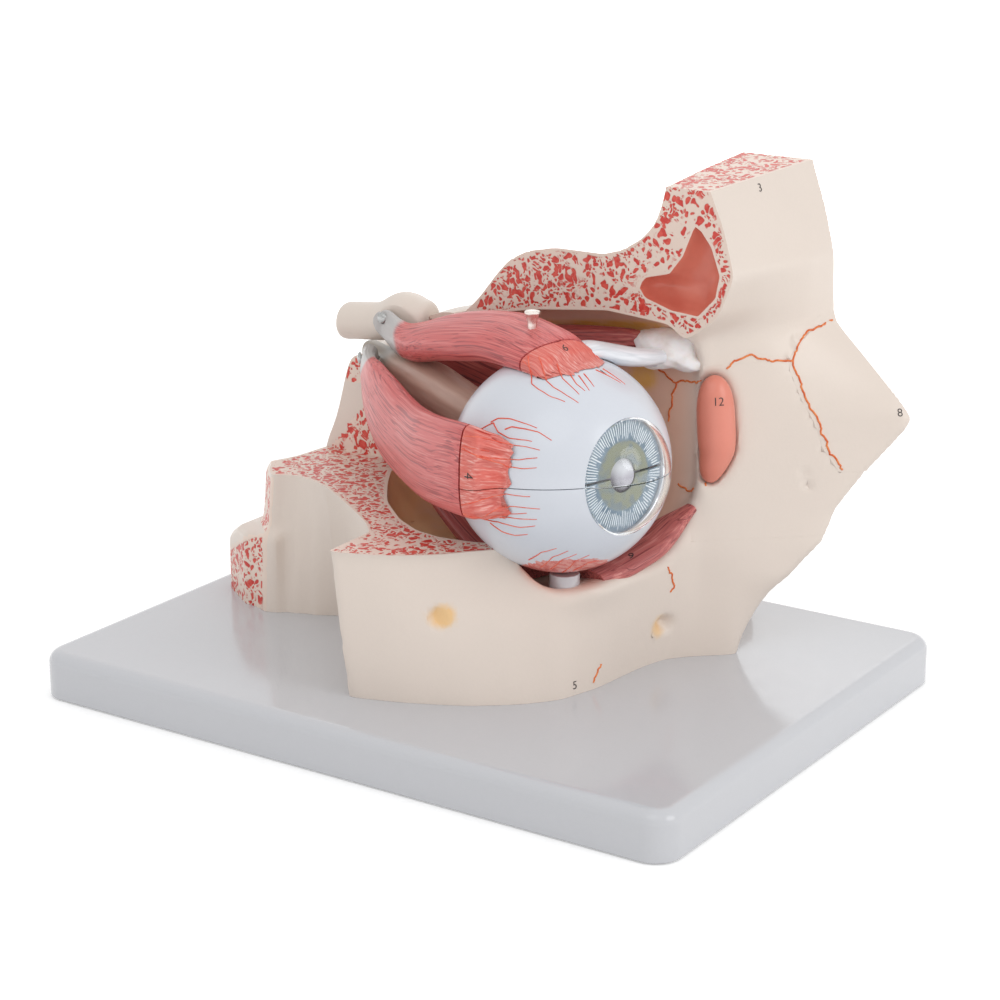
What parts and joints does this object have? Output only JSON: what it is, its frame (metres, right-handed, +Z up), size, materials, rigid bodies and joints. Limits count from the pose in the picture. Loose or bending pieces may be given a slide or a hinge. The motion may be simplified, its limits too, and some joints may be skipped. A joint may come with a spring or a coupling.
{
  "type": "eye anatomy model",
  "caption": "Enlarged model of an eye in its bony orbit on a flat base, with muscles that swing aside and an eyeball that comes apart in halves.",
  "frame": {"origin": "centre of the underside, on the surface that the feet stand on", "axes": "+X the way the eye looks, along the base's long side; +Y towards the nose side; +Z up"},
  "size_m": [0.26, 0.195, 0.1883],
  "materials": {
    "base": "glossy",
    "board": "matte",
    "feet": "matte",
    "screw": "satin",
    "pin": "polished",
    "bone": "satin, hand painted",
    "sac": "satin",
    "muscle": "satin, fibres painted",
    "deep_muscle": "satin, fibres painted",
    "tendon": "satin",
    "nerve": "satin",
    "sclera": "satin",
    "cornea": "clear",
    "choroid": "matte outside, orange red retina inside",
    "iris": "painted rays",
    "vitreous": "clear",
    "lens": "milky"
  },
  "bodies": {
    "skull": {"base_plate": "base", "base_cover": "board", "base_foot_1": "feet", "base_foot_2": "feet", "base_foot_3": "feet", "base_foot_4": "feet", "bone_screw_1": "screw", "bone_screw_2": "screw", "bone_screw_3": "screw", "cheek_bone": "bone", "temple_bone": "bone", "medial_wall": "bone", "frontal_bone": "bone", "nasal_bone": "bone", "lesser_wing": "bone", "lacrimal_sac": "sac", "superior_rectus_screw": "screw", "optic_nerve": "nerve", "medial_rectus": "deep_muscle", "inferior_rectus": "deep_muscle", "superior_oblique": "deep_muscle", "trochlea": "tendon", "inferior_oblique": "muscle", "support_post": "base"},
    "superior_rectus": {"superior_rectus": "muscle"},
    "retaining_pin": {"retaining_pin": "pin"},
    "lateral_rectus": {"lateral_rectus": "muscle", "lateral_rectus_screw": "screw"},
    "eyeball": {"sclera_lower": "sclera", "cornea_lower": "cornea", "choroid_lower": "choroid", "iris_lower": "iris", "lateral_rectus_insertion_lower": "muscle", "sclera_peg_1": "sclera", "sclera_peg_2": "sclera"},
    "upper_shell": {"sclera_upper": "sclera", "cornea_upper": "cornea", "superior_rectus_insertion": "muscle", "lateral_rectus_insertion_upper": "muscle", "superior_oblique_tendon": "tendon"},
    "upper_choroid": {"choroid_upper": "choroid", "iris_upper": "iris"},
    "vitreous": {"vitreous_body": "vitreous"},
    "lens": {"lens": "lens"}
  },
  "joints": [
    {"name": "superior_rectus_swing", "type": "hinge", "parent": "skull", "child": "superior_rectus", "pos_m": [-0.06, 0.0205, 0.1258], "axis": [0, -1, 0], "range_deg": [0, 54]},
    {"name": "pin_pull", "type": "slide", "parent": "superior_rectus", "child": "retaining_pin", "axis": [0, 0, 1], "range_m": [0, 0.025]},
    {"name": "lateral_rectus_swing", "type": "hinge", "parent": "skull", "child": "lateral_rectus", "pos_m": [-0.069, 0.0225, 0.1088], "axis": [0, 0, -1], "range_deg": [0, 35]},
    {"name": "eyeball_out", "type": "slide", "parent": "skull", "child": "eyeball", "axis": [0.9397, 0, 0.342], "range_m": [0, 0.0566]},
    {"name": "upper_shell_lift", "type": "slide", "parent": "eyeball", "child": "upper_shell", "axis": [0, 0, 1], "range_m": [0, 0.0283]},
    {"name": "upper_choroid_lift", "type": "slide", "parent": "eyeball", "child": "upper_choroid", "axis": [0, 0, 1], "range_m": [0, 0.018]},
    {"name": "vitreous_lift", "type": "slide", "parent": "eyeball", "child": "vitreous", "axis": [0, 0, 1], "range_m": [0, 0.009]},
    {"name": "lens_lift", "type": "slide", "parent": "eyeball", "child": "lens", "axis": [0, 0, 1], "range_m": [0, 0.009]}
  ],
  "couplings": [
    {"joint": "eyeball_out", "follows": "superior_rectus_swing", "m_per_rad": 0.06},
    {"joint": "upper_shell_lift", "follows": "superior_rectus_swing", "m_per_rad": 0.03},
    {"joint": "upper_choroid_lift", "follows": "superior_rectus_swing", "m_per_rad": 0.019},
    {"joint": "vitreous_lift", "follows": "superior_rectus_swing", "m_per_rad": 0.0095},
    {"joint": "lens_lift", "follows": "superior_rectus_swing", "m_per_rad": 0.0095}
  ]
}
